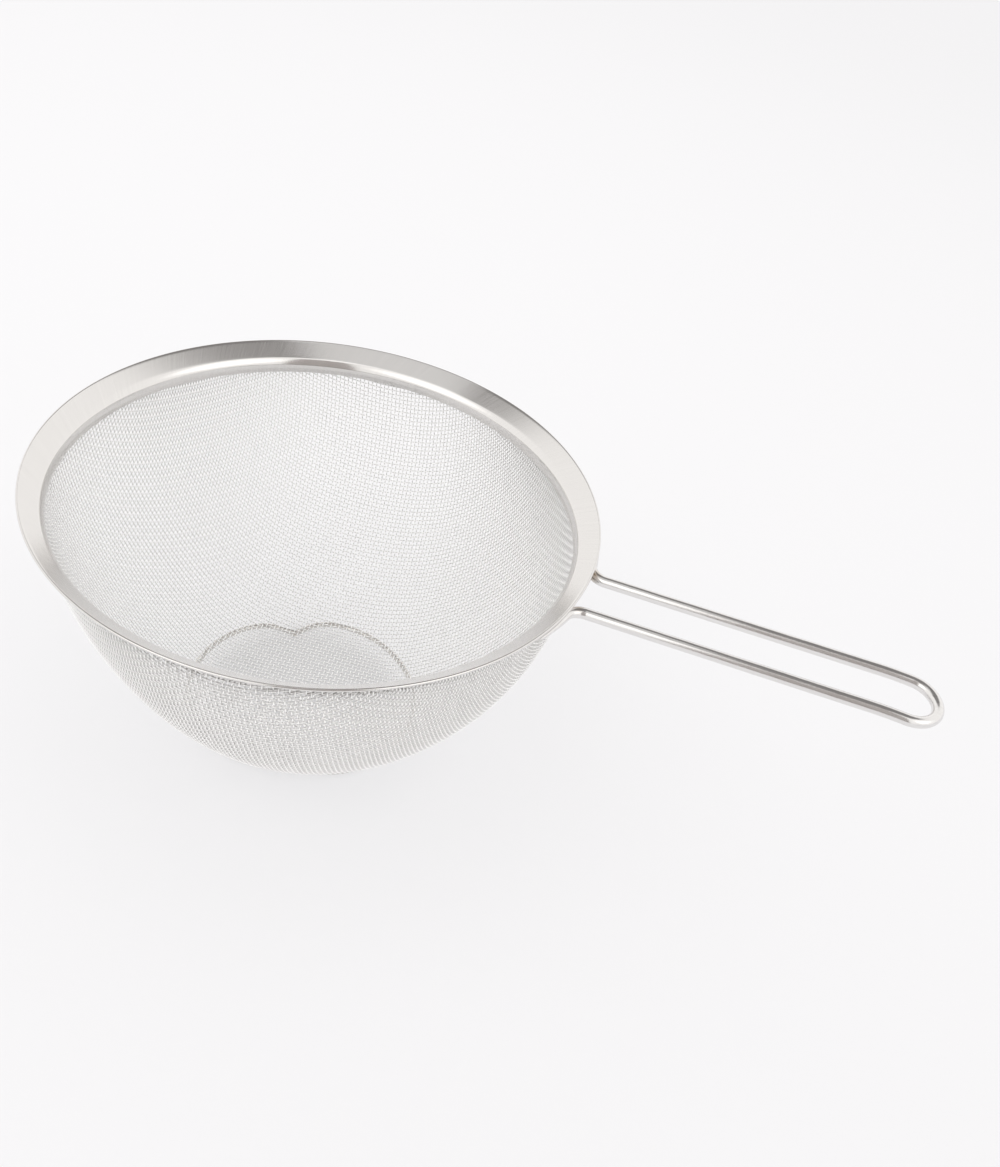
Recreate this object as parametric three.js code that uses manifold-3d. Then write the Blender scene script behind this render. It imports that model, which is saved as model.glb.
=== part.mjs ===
// Round wire-mesh colander: a pressed sheet rim, a woven bowl, a bent wire handle and a wire foot ring.
// Millimetres, +Z up, +X along the handle. The foot stands on z = 0, and x = 0 is the middle of the length.
import * as THREE from 'three';
import Module from 'manifold-3d';
import { mergeVertices } from 'three/addons/utils/BufferGeometryUtils.js';

const wasm = await Module();
wasm.setup();

// Clearance left between pieces that touch, and between a weld and what it joins
const seatGap = 0.2;
const weldGap = 0.15;

// Rim: a sheet ring with a sloping flange, a hemmed outer edge and a lip turned down inside the bowl
const rimRadius = 100;
const rimHeight = 105;
const sheet = 0.4;
const flangeWidth = 8.8;
const flangeSlope = 37;
const bendRadius = 4.3;
const lipDrop = 4;
const lipFlare = 0.7;
const hemGap = 0.3;
const hemReturn = 4;

// Mesh bowl: the cloth's thickness and the curve of its wall
const cloth = 0.9;
const bottomRadius = 36.5;
const wallRun = 52.6;
const wallTaper = 3.8;
const bottomRun = 7.8;

// Net of the bowl: each flat strand stands for seven wires of the cloth, and leaves as much open as they do
const pitchAlong = 11.9;
const pitchAcross = 12.6;
const strandWidth = 3.1;
const strandHeight = 0.7;
const weaveTurn = 10.4;
const seamOverlap = 1.2;

// Handle: a U of round wire whose two ends turn outwards under the hem
const handleWire = 4;
const handleReach = 119;
const legSpacing = 19.5;
const handleRise = 6.7;
const tipDrop = 1.6;
const tipBend = 12;
const rootBend = 6;
const tailLength = 17;
const tailInset = 1.2;

// Foot ring: a loop of thin wire whose two kinks, at the back and the front, reach in under the flat bottom
const footWire = 2.2;
const footRadius = 45.5;
const backKinkAzimuth = 123;
const backKinkWidth = 12.5;
const frontKinkAzimuth = 288;
const frontKinkWidth = 16;
const kinkInset = 0.6;
const endGap = 0.3;

// Welds: a fillet along each handle tail, and a spot inside each kink of the foot ring
const filletLength = 11;
const filletLeg = 1.5;
const spotWidth = 3.4;

// Facets
const roundSegments = 72;
const wallSteps = 48;
const bendSteps = 5;
const patchSides = 24;
const handleSides = 12;
const footSides = 8;
const footSteps = 88;

const degrees = Math.PI / 180;
const slope = flangeSlope * degrees;

// A curve through listed points, which an extrusion samples at exactly those points
class PointPath extends THREE.Curve {
  constructor(points) {
    super();
    this.points = points;
  }

  getPoint(t, target = new THREE.Vector3()) {
    const place = t * (this.points.length - 1);
    const index = Math.min(Math.floor(place), this.points.length - 2);
    return target.lerpVectors(this.points[index], this.points[index + 1], place - index);
  }

  getPointAt(u, target) {
    return this.getPoint(u, target);
  }

  getTangentAt(u, target = new THREE.Vector3()) {
    const step = 0.5 / (this.points.length - 1);
    const before = this.getPoint(Math.max(u - step, 0));
    return target.copy(this.getPoint(Math.min(u + step, 1))).sub(before).normalize();
  }
}

// A flat-sided round section, with one flat square to the first axis
function roundSection(diameter, sides) {
  const corner = diameter / 2 / Math.cos(Math.PI / sides);
  const points = [];
  for (let k = 0; k < sides; k++) {
    const angle = (2 * Math.PI * (k + 0.5)) / sides;
    points.push(new THREE.Vector2(corner * Math.cos(angle), corner * Math.sin(angle)));
  }
  return new THREE.Shape(points);
}

function sweep(section, points) {
  return new THREE.ExtrudeGeometry(section, {
    steps: points.length - 1,
    bevelEnabled: false,
    extrudePath: new PointPath(points),
  });
}

// Turns a closed profile of (radius, height) points about the Z axis
function turn(profile) {
  return new THREE.LatheGeometry(profile, roundSegments).rotateX(Math.PI / 2);
}

// A closed geometry as a solid that can be joined to another, and back
function solidOf(geometry) {
  const plain = geometry.clone();
  plain.deleteAttribute('normal');
  plain.deleteAttribute('uv');
  const merged = mergeVertices(plain);
  const vertProperties = Float32Array.from(merged.attributes.position.array);
  const triVerts = Uint32Array.from(merged.index.array);
  return new wasm.Manifold(new wasm.Mesh({ numProp: 3, vertProperties, triVerts }));
}

function geometryOf(solid) {
  const { vertProperties, triVerts } = solid.getMesh();
  const geometry = new THREE.BufferGeometry();
  geometry.setAttribute('position', new THREE.BufferAttribute(vertProperties, 3));
  geometry.setIndex(new THREE.BufferAttribute(triVerts, 1));
  geometry.computeVertexNormals();
  return geometry;
}

// The arc that rounds the corner at b between the lines a-b and b-c
function roundedCorner(a, b, c, radius, steps) {
  const towardsA = a.clone().sub(b).normalize();
  const towardsC = c.clone().sub(b).normalize();
  const half = towardsA.angleTo(towardsC) / 2;
  const centre = towardsA.clone().add(towardsC).setLength(radius / Math.sin(half)).add(b);
  const from = towardsA.multiplyScalar(radius / Math.tan(half)).add(b).sub(centre);
  const to = towardsC.multiplyScalar(radius / Math.tan(half)).add(b).sub(centre);
  const turnAngle = Math.atan2(from.cross(to), from.dot(to));
  const arc = [];
  for (let k = 0; k <= steps; k++) {
    arc.push(from.clone().rotateAround(new THREE.Vector2(), (turnAngle * k) / steps).add(centre));
  }
  return arc;
}

// Points offset to the left of a line of points by a distance
function offset(points, distance) {
  return points.map((point, k) => {
    const before = points[Math.max(k - 1, 0)];
    const after = points[Math.min(k + 1, points.length - 1)];
    const along = after.clone().sub(before).normalize();
    return new THREE.Vector2(-along.y, along.x).multiplyScalar(distance).add(point);
  });
}

// The closed outline of a strip of even thickness that follows a line of points
function strip(points, thickness) {
  const right = offset(points, -thickness / 2);
  const left = offset(points, thickness / 2).reverse();
  return [...right, ...left, right[0].clone()];
}

// The hem's fold: the sheet's middle turns half round about this centre
const foldRadius = (sheet + hemGap) / 2;
const hemHalf = foldRadius + sheet / 2;
const foldCentre = new THREE.Vector2(rimRadius - hemHalf, rimHeight - hemHalf);
const inward = new THREE.Vector2(-Math.cos(slope), -Math.sin(slope));
const upward = new THREE.Vector2(-Math.sin(slope), Math.cos(slope));

// The lip's middle line, from where it would meet the flange to its lower edge
const lipTopRadius = rimRadius - flangeWidth + sheet / 2;
const lipBottomRadius = lipTopRadius + lipFlare;
const flangeStart = upward.clone().multiplyScalar(foldRadius).add(foldCentre);
const flangeRun = (flangeStart.x - lipTopRadius) / Math.cos(slope);
const corner = inward.clone().multiplyScalar(flangeRun).add(flangeStart);
const lipBottom = corner.y - lipDrop;
const lowerEdge = new THREE.Vector2(lipBottomRadius, lipBottom);
const bend = roundedCorner(lowerEdge, corner, flangeStart, bendRadius + sheet / 2, bendSteps);

function rimGeometry() {
  const foldSteps = 6;
  const middle = [lowerEdge, ...bend];
  for (let k = 0; k <= foldSteps; k++) {
    const spoke = upward.clone().multiplyScalar(foldRadius);
    middle.push(spoke.rotateAround(new THREE.Vector2(), (-Math.PI * k) / foldSteps).add(foldCentre));
  }
  middle.push(inward.clone().multiplyScalar(hemReturn).add(middle[middle.length - 1]));
  return turn(strip(middle, sheet));
}

// The cloth's collar, which lies against the outside of the lip and follows its bend most of the way
const collarSteps = bendSteps - 1;
const collar = offset([lowerEdge, ...bend], -sheet / 2 - seatGap - cloth / 2).slice(0, collarSteps + 2);

// The cloth's middle line, from the centre of the bottom up the wall to the collar, and carried straight on
// from there to give the strands that end in the collar their direction
const bottomHeight = footWire + seatGap + cloth / 2;
const wallTop = collar[0];
const beyond = collar[1].clone().sub(wallTop).setLength(2 * pitchAcross).add(wallTop);
const wall = new THREE.CubicBezierCurve(
  new THREE.Vector2(bottomRadius, bottomHeight),
  new THREE.Vector2(bottomRadius + bottomRun, bottomHeight),
  new THREE.Vector2(wallTop.x - wallTaper, wallTop.y - wallRun),
  wallTop,
);
const middleLine = [new THREE.Vector2(0, bottomHeight), ...wall.getPoints(wallSteps), beyond];

// The length run along that line at each of its points
const runs = [0];
for (let k = 1; k < middleLine.length; k++) {
  runs.push(runs[k - 1] + middleLine[k].distanceTo(middleLine[k - 1]));
}
const fullRun = runs[runs.length - 1];
const seamRun = runs[runs.length - 2];

// Where a point of the flat cloth comes to lie on the bowl, and the direction into the bowl there
function onBowl(flat) {
  const run = flat.length();
  const after = runs.findIndex((length) => length > run);
  const index = after < 0 ? runs.length - 2 : after - 1;
  const along = middleLine[index + 1].clone().sub(middleLine[index]).normalize();
  const point = middleLine[index].clone().addScaledVector(along, run - runs[index]);
  const angle = flat.angle() + weaveTurn * degrees;
  const about = (radius, height) => {
    return new THREE.Vector3(radius * Math.cos(angle), radius * Math.sin(angle), height);
  };
  return { place: about(point.x, point.y), inwards: about(-along.y, along.x) };
}

// The crossing that lies one pitch from each of its two forerunners on the bowl, by Newton's method
function nextCrossing(before, below, guess) {
  const rounds = 12;
  const nudge = 1e-3;
  const placeBefore = onBowl(before).place;
  const placeBelow = onBowl(below).place;
  const miss = (x, y) => {
    const { place } = onBowl(new THREE.Vector2(x, y));
    const along = place.distanceTo(placeBefore) - pitchAlong;
    return new THREE.Vector2(along, place.distanceTo(placeBelow) - pitchAcross);
  };
  const flat = guess.clone();
  for (let k = 0; k < rounds; k++) {
    const here = miss(flat.x, flat.y);
    const changeX = miss(flat.x + nudge, flat.y).sub(here).divideScalar(nudge);
    const changeY = miss(flat.x, flat.y + nudge).sub(here).divideScalar(nudge);
    const area = changeX.cross(changeY);
    flat.x -= here.cross(changeY) / area;
    flat.y -= changeX.cross(here) / area;
  }
  return flat;
}

// All crossings as points of the flat cloth: one quarter is laid over the bowl, and the others mirror it
function flatCrossings() {
  const quarter = [];
  const crossings = new Map();
  for (let i = 0; i * pitchAlong < fullRun; i++) {
    quarter.push([]);
    for (let j = 0; j * pitchAcross < fullRun; j++) {
      let flat = new THREE.Vector2(i * pitchAlong, j * pitchAcross);
      if (i > 0 && j > 0) {
        const before = quarter[i - 1][j];
        const below = quarter[i][j - 1];
        if (!before || !below) {
          break;
        }
        flat = nextCrossing(before, below, before.clone().add(below).sub(quarter[i - 1][j - 1]));
      }
      if (flat.length() > fullRun) {
        break;
      }
      quarter[i].push(flat);
      for (const [sideX, sideY] of [[1, 1], [-1, 1], [-1, -1], [1, -1]]) {
        crossings.set(`${sideX * i},${sideY * j}`, new THREE.Vector2(sideX * flat.x, sideY * flat.y));
      }
    }
  }
  return crossings;
}

// The point of the flat cloth on the line from one point to another where the run reaches a length
function atRun(from, to, length) {
  const step = to.clone().sub(from);
  const half = from.dot(step) / step.lengthSq();
  const rest = (length ** 2 - from.lengthSq()) / step.lengthSq();
  return from.clone().addScaledVector(step, Math.sqrt(half ** 2 + rest) - half);
}

// The net's knots: the crossings below the seam, and the ends of the strands that run up into it. A knot's
// links are its neighbours in the four directions, counted anticlockwise as seen from inside the bowl.
function netKnots() {
  const directions = [[1, 0], [0, 1], [-1, 0], [0, -1]];
  const crossings = flatCrossings();
  const knotAt = (flat) => ({ ...onBowl(flat), links: [null, null, null, null] });
  const knots = new Map();
  for (const [name, flat] of crossings) {
    if (flat.length() <= seamRun) {
      knots.set(name, knotAt(flat));
    }
  }
  const ends = [];
  for (const [name, knot] of knots) {
    const [i, j] = name.split(',').map(Number);
    directions.forEach(([stepI, stepJ], direction) => {
      const otherName = `${i + stepI},${j + stepJ}`;
      if (knots.has(otherName)) {
        knot.links[direction] = knots.get(otherName);
      } else if (crossings.has(otherName)) {
        const flat = atRun(crossings.get(name), crossings.get(otherName), seamRun + seamOverlap);
        const end = knotAt(flat);
        end.links[(direction + 2) % 4] = knot;
        knot.links[direction] = end;
        ends.push(end);
      }
    });
  }
  return [...knots.values(), ...ends];
}

// The direction of the next strand round a knot, anticlockwise for a turn of 1 and clockwise for -1
function nextStrand(knot, direction, turn) {
  let next = direction;
  do {
    next = (next + turn + 4) % 4;
  } while (!knot.links[next]);
  return next;
}

// The corner of the gap between a strand and the next one, half a strand's width from both. At a strand's end
// there is no next one, and the corner is the tip that it runs out to.
function gapCorner(knot, direction) {
  const longest = nextStrand(knot, direction, 1) === direction ? seamOverlap : 0.75 * strandWidth;
  const [first, second] = [direction, nextStrand(knot, direction, 1)].map((towards) => {
    return knot.links[towards].place.clone().sub(knot.place).projectOnPlane(knot.inwards).normalize();
  });
  const turned = Math.atan2(first.clone().cross(second).dot(knot.inwards), first.dot(second));
  const angle = turned > 0 ? turned : turned + 2 * Math.PI;
  const reach = Math.min(strandWidth / 2 / Math.sin(angle / 2), longest);
  return first.applyAxisAngle(knot.inwards, angle / 2).multiplyScalar(reach).add(knot.place);
}

// Strands with a ridge on each side: between two knots, each half of a strand has an upper and an under face
function netGeometry() {
  const knots = netKnots();
  const points = [];
  const add = (point) => points.push(point) - 1;
  for (const knot of knots) {
    knot.top = add(knot.place.clone().addScaledVector(knot.inwards, strandHeight / 2));
    knot.under = add(knot.place.clone().addScaledVector(knot.inwards, -strandHeight / 2));
    knot.corners = knot.links.map((link, direction) => (link ? add(gapCorner(knot, direction)) : null));
  }
  const faces = [];
  const addQuad = (a, b, c, d) => faces.push(a, b, c, a, c, d);
  for (const knot of knots) {
    knot.links.forEach((other, direction) => {
      if (other) {
        const near = knot.corners[direction];
        const far = other.corners[nextStrand(other, (direction + 2) % 4, -1)];
        addQuad(knot.top, other.top, far, near);
        addQuad(other.under, knot.under, near, far);
      }
    });
  }
  return new THREE.BufferGeometry().setFromPoints(points).setIndex(faces);
}

// A plain round patch at the edge of the flat bottom, where the cloth is fused by a weld of the foot ring
function patchGeometry(azimuth) {
  const patchRadius = Math.max(pitchAlong, pitchAcross) / 2;
  const reach = bottomRadius - patchRadius;
  const angle = azimuth * degrees;
  const patch = new THREE.CylinderGeometry(patchRadius, patchRadius, cloth, patchSides).rotateX(Math.PI / 2);
  return patch.translate(reach * Math.cos(angle), reach * Math.sin(angle), bottomHeight);
}

// The net with the plain band that is welded to the lip, and the patches at the foot ring's welds
function bowlGeometry() {
  let bowl = solidOf(netGeometry()).add(solidOf(turn(strip(collar, cloth))));
  for (const azimuth of [backKinkAzimuth, frontKinkAzimuth]) {
    bowl = bowl.add(solidOf(patchGeometry(azimuth)));
  }
  return geometryOf(bowl);
}

// The handle lies under the hem: its tails follow the rim a little inside the edge
const tailRadius = rimRadius - tailInset;
const hemUnder = foldCentre.clone().addScaledVector(upward, -hemHalf);
const tailDrop = (handleWire / 2 + seatGap) / Math.cos(slope);
const tailHeight = hemUnder.y + (tailRadius - hemUnder.x) * Math.tan(slope) - tailDrop;
const legOffset = legSpacing / 2;
const loopCentre = rimRadius + handleReach - legOffset;

// The bend between a leg and its tail: its centre in plan, and the angle where the tail starts
const bendAway = legOffset + rootBend;
const bendReach = Math.sqrt((tailRadius + rootBend) ** 2 - bendAway ** 2);
const meeting = Math.atan2(bendAway, bendReach);

// One end of the handle in plan, from its tail's end to the start of the straight leg
function rootPlan(side) {
  const tailSteps = 4;
  const rootSteps = 5;
  const plan = [];
  for (let k = 0; k <= tailSteps; k++) {
    const angle = meeting + ((tailLength / tailRadius) * (tailSteps - k)) / tailSteps;
    plan.push(new THREE.Vector2(tailRadius * Math.cos(angle), side * tailRadius * Math.sin(angle)));
  }
  const sweepAngle = Math.PI / 2 - meeting;
  for (let k = 1; k <= rootSteps; k++) {
    const angle = Math.PI + meeting + (sweepAngle * k) / rootSteps;
    const x = bendReach + rootBend * Math.cos(angle);
    plan.push(new THREE.Vector2(x, side * (bendAway + rootBend * Math.sin(angle))));
  }
  return plan;
}

function handleGeometry() {
  const loopSteps = 14;
  const legSteps = 4;
  const near = rootPlan(-1);
  const far = rootPlan(1).reverse();
  const legStart = near[near.length - 1].x;
  const plan = [...near];
  for (let k = 1; k < legSteps; k++) {
    plan.push(new THREE.Vector2(legStart + ((loopCentre - legStart) * k) / legSteps, -legOffset));
  }
  for (let k = 0; k <= loopSteps; k++) {
    const angle = -Math.PI / 2 + (Math.PI * k) / loopSteps;
    plan.push(new THREE.Vector2(loopCentre + legOffset * Math.cos(angle), legOffset * Math.sin(angle)));
  }
  for (let k = legSteps - 1; k > 0; k--) {
    plan.push(new THREE.Vector2(legStart + ((loopCentre - legStart) * k) / legSteps, legOffset));
  }
  plan.push(...far);
  const risePerLength = handleRise / (rimRadius + handleReach - legStart);
  const points = plan.map((point) => {
    const rise = risePerLength * Math.max(point.x - legStart, 0);
    const drop = Math.max(point.x - loopCentre + tipBend, 0) / (tipBend + legOffset);
    return new THREE.Vector3(point.x, point.y, tailHeight + rise - tipDrop * drop ** 2);
  });
  return sweep(roundSection(handleWire, handleSides), points);
}

// The foot ring's radius at an azimuth: a circle with a smooth kink at the back and at the front
const kinkRadius = bottomRadius - kinkInset;

function footRadiusAt(azimuth) {
  const depth = footRadius - kinkRadius;
  let radius = footRadius;
  for (const [centre, width] of [[backKinkAzimuth, backKinkWidth], [frontKinkAzimuth, frontKinkWidth]]) {
    const away = THREE.MathUtils.euclideanModulo(azimuth - centre + 180, 360) - 180;
    radius -= depth / (1 + (away / width) ** 2);
  }
  return radius;
}

function footGeometry() {
  const points = [];
  const halfGap = endGap / 2 / kinkRadius / degrees;
  for (let k = 0; k <= footSteps; k++) {
    const azimuth = backKinkAzimuth + halfGap + ((360 - 2 * halfGap) * k) / footSteps;
    const radius = footRadiusAt(azimuth);
    const angle = azimuth * degrees;
    points.push(new THREE.Vector3(radius * Math.cos(angle), radius * Math.sin(angle), footWire / 2));
  }
  return sweep(roundSection(footWire, footSides), points);
}

// A fillet in the corner between a handle tail and the hem, on the side towards the bowl
function filletGeometry(side) {
  const steps = 6;
  const wireRadius = handleWire / 2;
  const start = wireRadius / 2;
  const legOut = inward.clone();
  const legDown = upward.clone().negate();
  const rise = wireRadius + seatGap - weldGap;
  const foot = new THREE.Vector2(tailRadius, tailHeight).addScaledVector(upward, rise);
  const at = (run, drop) => foot.clone().addScaledVector(legOut, run).addScaledVector(legDown, drop);
  const toe = wireRadius + weldGap;
  const outline = [at(start, 0), at(start + filletLeg, 0), at(toe, filletLeg - weldGap)];
  const section = new THREE.Shape(outline.map((point) => {
    return new THREE.Vector2(tailHeight - point.y, point.x - tailRadius);
  }));
  const middle = meeting + tailLength / 2 / tailRadius;
  const points = [];
  for (let k = 0; k <= steps; k++) {
    const angle = side * middle + (filletLength / tailRadius) * (0.5 - k / steps);
    points.push(new THREE.Vector3(tailRadius * Math.cos(angle), tailRadius * Math.sin(angle), tailHeight));
  }
  return sweep(section, points);
}

// A flattened spot of weld inside a kink, between the wire and the cloth above it
function spotGeometry(azimuth) {
  const top = footWire + seatGap - weldGap;
  const spotHeight = footWire / 2;
  const angle = azimuth * degrees;
  const radius = kinkRadius - footWire / 2 - weldGap - spotWidth / 2;
  const spot = new THREE.SphereGeometry(spotWidth / 2, 12, 8).rotateX(Math.PI / 2);
  spot.scale(1, 1, spotHeight / spotWidth);
  return spot.translate(radius * Math.cos(angle), radius * Math.sin(angle), top - spotHeight / 2);
}

const brushedSheet = { color: 0xc9c7c3, metalness: 1, roughness: 0.32 };
const wovenWire = { color: 0xcfcecb, metalness: 1, roughness: 0.3 };
const brightWire = { color: 0xd0ccc7, metalness: 1, roughness: 0.12 };
const weldMetal = { color: 0xb3a797, metalness: 1, roughness: 0.4 };

const colander = new THREE.Group();

function addPiece(name, geometry, finish) {
  const mesh = new THREE.Mesh(geometry, new THREE.MeshStandardMaterial(finish));
  mesh.name = name;
  colander.add(mesh);
}

addPiece('rim', rimGeometry(), brushedSheet);
addPiece('mesh_bowl', bowlGeometry(), wovenWire);
addPiece('handle', handleGeometry(), brightWire);
addPiece('foot_ring', footGeometry(), brightWire);
addPiece('handle_weld_near', filletGeometry(-1), weldMetal);
addPiece('handle_weld_far', filletGeometry(1), weldMetal);
addPiece('foot_weld_back', spotGeometry(backKinkAzimuth), weldMetal);
addPiece('foot_weld_front', spotGeometry(frontKinkAzimuth), weldMetal);

// The bowl's axis stands off the middle of the length by half of what the handle adds
const handleEnd = rimRadius + handleReach + handleWire / 2;
colander.position.x = -(handleEnd - rimRadius) / 2;

export default colander;
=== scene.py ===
# Colander of woven stainless wire: its weave, sheet rim, wire handle and foot ring, in a bright studio.
# Lengths are in millimetres about the bowl's axis. Points become metres in the frame when a piece is made.
import math

import bpy
import numpy as np
from mathutils import Matrix, Vector


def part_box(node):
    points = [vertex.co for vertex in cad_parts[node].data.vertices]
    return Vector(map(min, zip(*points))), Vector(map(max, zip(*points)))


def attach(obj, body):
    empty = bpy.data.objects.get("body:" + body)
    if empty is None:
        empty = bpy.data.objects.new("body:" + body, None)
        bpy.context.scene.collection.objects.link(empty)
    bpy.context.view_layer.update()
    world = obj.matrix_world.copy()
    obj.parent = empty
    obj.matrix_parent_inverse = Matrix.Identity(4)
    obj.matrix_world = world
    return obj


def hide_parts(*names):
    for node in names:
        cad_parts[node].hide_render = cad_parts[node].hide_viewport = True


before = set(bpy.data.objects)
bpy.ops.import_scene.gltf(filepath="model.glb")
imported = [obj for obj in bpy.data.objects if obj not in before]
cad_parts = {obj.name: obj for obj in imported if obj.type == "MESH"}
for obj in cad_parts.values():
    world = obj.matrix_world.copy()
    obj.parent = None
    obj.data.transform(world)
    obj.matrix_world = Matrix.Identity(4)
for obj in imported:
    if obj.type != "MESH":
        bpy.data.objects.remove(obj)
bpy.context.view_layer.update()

METRE = 1000.0

# Sizes that the frame gives
rim_low, rim_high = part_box("rim")
_, handle_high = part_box("handle")
foot_low, foot_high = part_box("foot_ring")
bowl_low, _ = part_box("mesh_bowl")
AXIS_X = (rim_low.x + rim_high.x) / 2 * METRE
RIM_RADIUS = (rim_high.y - rim_low.y) / 2 * METRE
RIM_HEIGHT = round(rim_high.z * METRE, 1)
HANDLE_END = handle_high.x * METRE - AXIS_X
FOOT_WIRE = (foot_high.z - foot_low.z) * METRE
CLOTH_BOTTOM = bowl_low.z * METRE

# Rim: the bend's radius is that of the sheet's middle line, and two widths at its edges stay polished
SHEET = 0.4
FLANGE_WIDTH = 8.8
FLANGE_SLOPE = math.radians(37)
BEND_RADIUS = 4.5
LIP_DROP = 4.0
LIP_FLARE = 0.7
HEM_GAP = 0.3
HEM_RETURN = 4.0
POLISHED_BEND = 2.2
POLISHED_HEM = 1.2
RIM_SEGMENTS = 420
LIP_POINTS = 8
LIP_BEND_STEPS = 20
FLANGE_POINTS = 10
FOLD_POINTS = 17
TONGUE_POINTS = 5

# Cloth: one set of its wires runs along and one across, and the bowl leans a little to one side
CLOTH = 0.9
SEAT_GAP = 0.2
BOTTOM_RADIUS = 36.5
BOTTOM_RUN = 7.8
WALL_RUN = 52.6
WALL_TAPER = 3.8
PITCH_ALONG = 1.70
PITCH_ACROSS = 1.80
WIRE = 0.45
CRIMP_ALONG = 0.16
CRIMP_ACROSS = 0.29
WEAVE_TURN = math.radians(10.4)
LEAN = 2.6
LEAN_TOWARDS = math.radians(31)
WIRE_SIDES = 5
RINGS_PER_PITCH = 4
WIRE_PIECES = 5
FEWEST_CROSSINGS = 3
SEAM_POINTS = 6
BARE_BEND_POINTS = 4
WALL_POINTS = 800
PITCHES_PAST_EDGE = 3

# Handle
HANDLE_WIRE = 4.0
LEG_SPACING = 19.5
HANDLE_RISE = 6.65
TIP_DROP = 1.6
TIP_BEND = 12.0
ROOT_BEND = 6.0
TAIL_LENGTH = 17.0
TAIL_INSET = 1.2
TAIL_FLATTENING = 0.55
HEAT_TINT_REACH = 3.5
HEAT_TINT_SHIFT = 1.0
HANDLE_SIDES = 28
TAIL_STEPS = 24
BEND_STEPS = 24
LEG_STEPS = 59
LOOP_STEPS = 32

# Foot ring: each kink has an azimuth and a width in degrees
FOOT_RADIUS = 45.5
BACK_KINK = (123.0, 12.5)
FRONT_KINK = (288.0, 16.0)
KINK_INSET = 0.6
END_GAP = 0.3
FOOT_SIDES = 20
FOOT_STEPS = 480

# Welds: the blunt values keep the ends of a bead and of a spot from closing to a point
WELD_GAP = 0.15
FILLET_LENGTH = 11.0
FILLET_LEG = 1.5
FILLET_BURIED = 0.2
FILLET_RIPPLE = 0.08
FILLET_RIPPLES = 23
FILLET_BLUNT = 0.02
FILLET_STEPS = 40
FILLET_SIDES = 12
SPOT_WIDTH = 2.0
SPOT_BLUNT = 0.05
SPOT_STEPS = 14
SPOT_SIDES = 20

# Camera, as fitted to the photograph: where it stands about the rim's middle, and where that middle shows
IMAGE_WIDTH = 1000
IMAGE_HEIGHT = 1167
FOCAL_PIXELS = 1221.2
SENSOR = 36.0
CAMERA_DISTANCE = 433.3
CAMERA_AZIMUTH = math.radians(24.08)
CAMERA_ELEVATION = math.radians(36.0)
CAMERA_ROLL = math.radians(5.48)
RIM_CENTRE_PIXEL = (321.44, 485.08)

# Upwards, and the least distance that is divided by
UP = np.array((0.0, 0.0, 1.0))
TINY = 1e-9

# Values worked out from those above
FOLD_RADIUS = (SHEET + HEM_GAP) / 2
HEM_HALF = FOLD_RADIUS + SHEET / 2
FOLD_CENTRE = np.array((RIM_RADIUS - HEM_HALF, RIM_HEIGHT - HEM_HALF))
INWARD = -np.array((math.cos(FLANGE_SLOPE), math.sin(FLANGE_SLOPE)))
UPWARD = np.array((-math.sin(FLANGE_SLOPE), math.cos(FLANGE_SLOPE)))
LIP_TOP_RADIUS = RIM_RADIUS - FLANGE_WIDTH + SHEET / 2
FLANGE_START = FOLD_CENTRE + UPWARD * FOLD_RADIUS
FLANGE_RUN = (FLANGE_START[0] - LIP_TOP_RADIUS) / math.cos(FLANGE_SLOPE)
CORNER = FLANGE_START + INWARD * FLANGE_RUN
LIP_EDGE = np.array((LIP_TOP_RADIUS + LIP_FLARE, CORNER[1] - LIP_DROP))
TAIL_RADIUS = RIM_RADIUS - TAIL_INSET
HEM_UNDER = FOLD_CENTRE - UPWARD * HEM_HALF
TAIL_DROP = (HANDLE_WIRE / 2 + SEAT_GAP) / math.cos(FLANGE_SLOPE)
TAIL_HEIGHT = HEM_UNDER[1] + (TAIL_RADIUS - HEM_UNDER[0]) * math.tan(FLANGE_SLOPE) - TAIL_DROP
LEG_OFFSET = LEG_SPACING / 2
LOOP_CENTRE = round(HANDLE_END - HANDLE_WIRE / 2, 1) - LEG_OFFSET
BEND_AWAY = LEG_OFFSET + ROOT_BEND
BEND_REACH = math.sqrt((TAIL_RADIUS + ROOT_BEND) ** 2 - BEND_AWAY ** 2)
MEETING = math.atan2(BEND_AWAY, BEND_REACH)
HEAT_TINT_CENTRE = (TAIL_RADIUS + HEAT_TINT_SHIFT, LEG_OFFSET, TAIL_HEIGHT + HEAT_TINT_SHIFT)
KINK_RADIUS = BOTTOM_RADIUS - KINK_INSET
PITCHES = np.array((PITCH_ACROSS, PITCH_ALONG))


# Meshes

def to_frame(points):
    return (np.asarray(points, float) + (AXIS_X, 0, 0)) / METRE


def unit(vectors):
    return vectors / np.linalg.norm(vectors, axis=-1, keepdims=True)


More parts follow.
